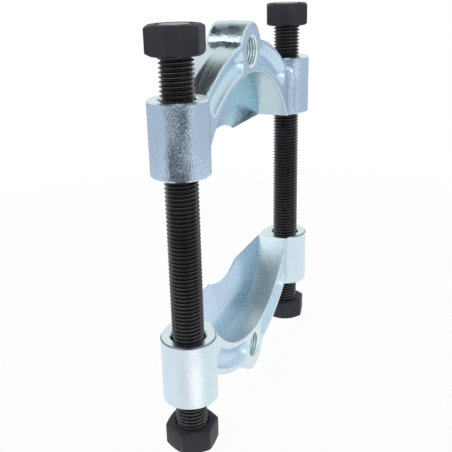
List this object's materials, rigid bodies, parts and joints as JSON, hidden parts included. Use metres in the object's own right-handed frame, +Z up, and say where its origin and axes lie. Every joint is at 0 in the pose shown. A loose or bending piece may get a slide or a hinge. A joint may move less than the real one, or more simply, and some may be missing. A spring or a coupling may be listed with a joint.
{
  "type": "bearing separator",
  "caption": "Splitter tool: forged half shells slide on threaded studs, and nuts draw their ground blades together behind a bearing so that a puller can lift it off its shaft.",
  "frame": {"origin": "midway between the studs, on the plane of the lower nuts' and studs' end faces, on which the part stands", "axes": "+X from the near stud to the far stud, +Z up along the studs, and the face with the pulling holes looks along -Y"},
  "size_m": [0.1854, 0.028, 0.21],
  "materials": {
    "zinc_plate": "bright blue-white zinc plate on forged steel, with ground edges",
    "stud_black": "glossy black oxide on rolled thread",
    "nut_black": "satin black oxide"
  },
  "bodies": {
    "studs": {"near_stud": "stud_black", "far_stud": "stud_black"},
    "upper_half": {"upper_half_shell": "zinc_plate"},
    "lower_half": {"lower_half_shell": "zinc_plate"},
    "near_upper_nut": {"near_upper_nut": "nut_black"},
    "far_upper_nut": {"far_upper_nut": "nut_black"},
    "near_lower_nut": {"near_lower_nut": "nut_black"},
    "far_lower_nut": {"far_lower_nut": "nut_black"}
  },
  "joints": [
    {"name": "upper_half_slide", "type": "slide", "parent": "studs", "child": "upper_half", "axis": [0, 0, 1], "range_m": [-0.0408, 0.0182]},
    {"name": "lower_half_slide", "type": "slide", "parent": "studs", "child": "lower_half", "axis": [0, 0, 1], "range_m": [-0.0142, 0.0408]},
    {"name": "near_upper_nut_turn", "type": "hinge", "parent": "studs", "child": "near_upper_nut", "pos_m": [-0.07875, 0, 0.2035], "axis": [0, 0, 1], "continuous": true},
    {"name": "far_upper_nut_turn", "type": "hinge", "parent": "studs", "child": "far_upper_nut", "pos_m": [0.07875, 0, 0.2035], "axis": [0, 0, 1], "continuous": true},
    {"name": "near_lower_nut_turn", "type": "hinge", "parent": "studs", "child": "near_lower_nut", "pos_m": [-0.07875, 0, 0.0065], "axis": [0, 0, 1], "continuous": true},
    {"name": "far_lower_nut_turn", "type": "hinge", "parent": "studs", "child": "far_lower_nut", "pos_m": [0.07875, 0, 0.0065], "axis": [0, 0, 1], "continuous": true}
  ]
}
